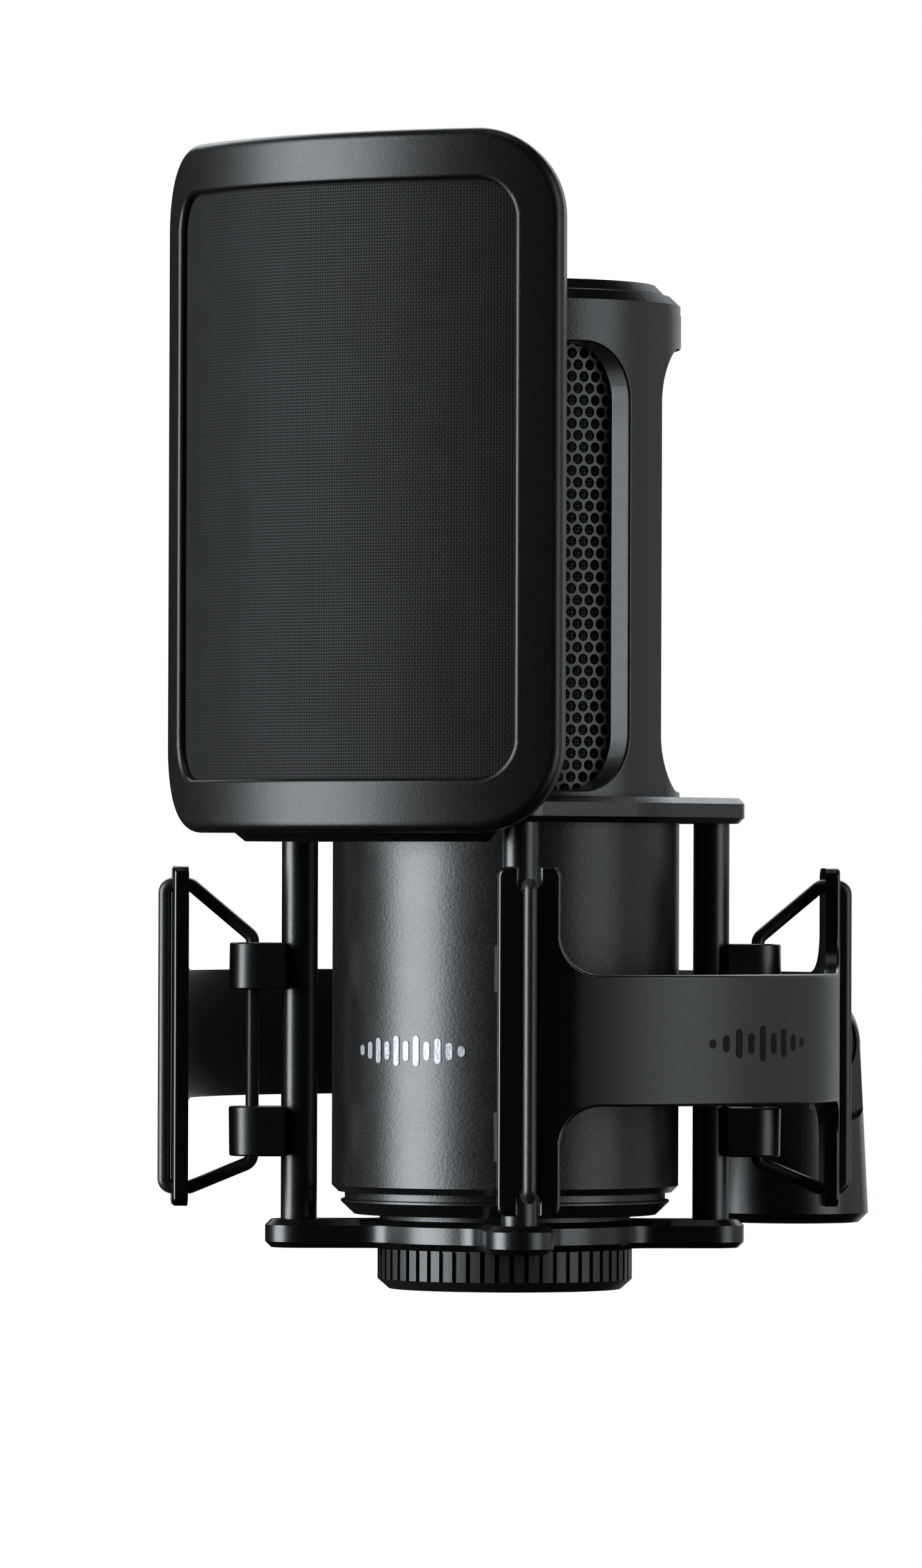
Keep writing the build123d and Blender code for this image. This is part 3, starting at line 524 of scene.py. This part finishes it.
def bar_outline(centre, height):
    """A round-ended upright bar as (sideways, height) points."""
    radius = MARK_BAR_WIDTH / 2
    straight = max(0.0, height / 2 - radius)
    points = []
    for end, sign in ((0.0, 1), (math.pi, -1)):
        for step in range(MARK_END_STEPS + 1):
            turn = end + math.pi * step / MARK_END_STEPS
            points.append((centre + radius * math.cos(turn), sign * straight + radius * math.sin(turn)))
    return points


def build_tone_mark():
    """A row of plain bars of different heights, a duller black than the band they stand on."""
    points, faces = [], []
    for k, height in enumerate(MARK_BARS):
        outline = bar_outline((k - (len(MARK_BARS) - 1) / 2) * MARK_STEP, height * MM)
        first = len(points)
        count = len(outline)
        for radius in (MARK_R + MARK_PROUD, MARK_R - MARK_PROUD):
            points += [around(side / MARK_R, radius, MARK_HEIGHT_Z + up) for side, up in outline]
        faces.append(tuple(range(first, first + count)))
        faces += [(first + s, first + count + s, first + count + (s + 1) % count, first + (s + 1) % count)
                  for s in range(count)]
    made = piece("bracket_tone_mark", points, faces, "tone_mark", "bracket", smooth=False)


build_grille()
for corner_name, corner_angle in CORNERS.items():
    build_loop(corner_name, corner_angle)
build_sleeve()
build_tone_mark()


# ---------------------------------------------------------------- studio
CAMERA_AT = Vector((1.0169, -1.2375, 0.0528))
CAMERA_AIM = Vector((-0.0052, -0.0722, 0.0679))
CAMERA_LENS = 234.3
CAMERA_ROLL_DEG = 0.2
FLOOR_Z = -0.3
FLOOR_R = 2.5
FLOOR_SIDES = 96
VIEW_ANGLE = 41.0
LIGHT_TINT = (0.935, 1.0, 1.04)
LIGHT_AIM_Z = 0.07


def build_camera():
    """The camera, from the front right and a little below the microphone's middle."""
    data = bpy.data.cameras.new("camera")
    data.sensor_fit = "AUTO"
    data.sensor_width = 36.0
    data.lens = CAMERA_LENS
    data.clip_end = 20.0
    camera = bpy.data.objects.new("camera", data)
    bpy.context.scene.collection.objects.link(camera)
    turn = (CAMERA_AIM - CAMERA_AT).to_track_quat("-Z", "Y").to_matrix().to_4x4()
    camera.matrix_world = turn
    camera.location = CAMERA_AT
    camera.rotation_euler.rotate_axis("Z", math.radians(CAMERA_ROLL_DEG))
    bpy.context.scene.camera = camera


def soft_light(name, angle_deg, height, distance, size, power):
    """An area light at an angle from the microphone's front, turned towards the microphone."""
    data = bpy.data.lights.new(name, "AREA")
    data.shape = "RECTANGLE"
    data.size, data.size_y = size
    data.energy = power
    data.color = LIGHT_TINT
    light = bpy.data.objects.new(name, data)
    bpy.context.scene.collection.objects.link(light)
    angle = math.radians(angle_deg)
    spot = Vector((math.sin(angle), -math.cos(angle), 0.0)) * distance + MIC_AXIS
    spot.z = height
    aim = MIC_AXIS + Vector((0, 0, LIGHT_AIM_Z))
    light.matrix_world = (aim - spot).to_track_quat("-Z", "Y").to_matrix().to_4x4()
    light.location = spot
    light.visible_camera = False
    return light


def light_only(light, names, unshaded=False):
    """Lets a light reach only the named pieces. When unshaded, nothing else stands in its way."""
    lit = bpy.data.collections.new(light.name + "_lit")
    for name in names:
        lit.objects.link(bpy.data.objects[name])
    light.light_linking.receiver_collection = lit
    if unshaded:
        light.light_linking.blocker_collection = lit


def light_all_but(light, names):
    """Keeps a light off the named pieces, which have one of their own."""
    spared = bpy.data.collections.new(light.name + "_spared")
    for name in names:
        spared.objects.link(bpy.data.objects[name])
    for entry in spared.collection_objects:
        entry.light_linking.link_state = "EXCLUDE"
    light.light_linking.receiver_collection = spared


def build_world():
    """A white surround for the camera, and a dim one for the light on the object."""
    world = bpy.data.worlds.new("studio")
    bpy.context.scene.world = world
    world.use_nodes = True
    tree = world.node_tree
    tree.nodes.clear()
    seen = node(tree, "LightPath").outputs["Is Camera Ray"]
    dim = node(tree, "Background", {"Color": (0.9, 0.95, 1.0, 1.0), "Strength": 0.015})
    white = node(tree, "Background", {"Color": (1.0, 1.0, 1.0, 1.0), "Strength": 1.0})
    both = node(tree, "MixShader", {0: seen, 1: dim.outputs[0], 2: white.outputs[0]})
    node(tree, "OutputWorld", {"Surface": both.outputs[0]})


def build_floor():
    """A round pale floor that is seen by the camera only."""
    MATERIALS["floor_paint"] = surface("floor_paint", floor_finish)
    points = [Vector((0, 0, FLOOR_Z))] + [
        around(2 * math.pi * k / FLOOR_SIDES, FLOOR_R, FLOOR_Z) for k in range(FLOOR_SIDES)]
    faces = [(0, k + 1, (k + 1) % FLOOR_SIDES + 1) for k in range(FLOOR_SIDES)]
    floor = piece("floor", points, faces, "floor_paint")
    floor.visible_diffuse = False
    floor.visible_glossy = False


build_camera()
build_world()
build_floor()
# The filter, the body and the housing's windows each have a main light of their own, which sets
# where their highlights fall. The others share one.
FILTER_PIECES = ["filter_bezel", "filter_frame", "filter_mesh"]
BODY_PIECES = ["body_tube", "badge"]
key = soft_light("key_left", VIEW_ANGLE - 71, 0.20, 1.5, (1.05, 1.7), 70)
light_all_but(key, FILTER_PIECES + BODY_PIECES)
filter_key = soft_light("key_filter", VIEW_ANGLE - 77, 0.20, 1.5, (1.05, 1.7), 59)
light_only(filter_key, FILTER_PIECES)
body_key = soft_light("key_body", VIEW_ANGLE - 61, 0.20, 1.5, (1.0, 1.7), 67)
light_only(body_key, BODY_PIECES, unshaded=True)
window_key = soft_light("key_window", VIEW_ANGLE - 93, 0.10, 1.5, (0.7, 1.2), 68)
light_only(window_key, ["housing"], unshaded=True)
fill = soft_light("fill_right", VIEW_ANGLE + 62, 0.20, 1.5, (0.9, 1.4), 11)
light_all_but(fill, BODY_PIECES)
body_fill = soft_light("fill_body", VIEW_ANGLE + 62, 0.20, 1.5, (0.9, 1.4), 6.5)
light_only(body_fill, BODY_PIECES)
soft_light("side_right", VIEW_ANGLE + 108, 0.20, 1.5, (1.1, 1.5), 2.8)
soft_light("rim_right", VIEW_ANGLE + 155, 0.25, 1.5, (0.8, 1.6), 3.5)
soft_light("top_soft", VIEW_ANGLE - 10, 1.60, 0.25, (0.8, 0.8), 1.8)
back = soft_light("back_high", VIEW_ANGLE + 180, 0.95, 1.1, (1.6, 0.7), 14)
light_all_but(back, ["top_cap"])

scene = bpy.context.scene
scene.view_settings.view_transform = "Standard"
scene.view_settings.look = "None"
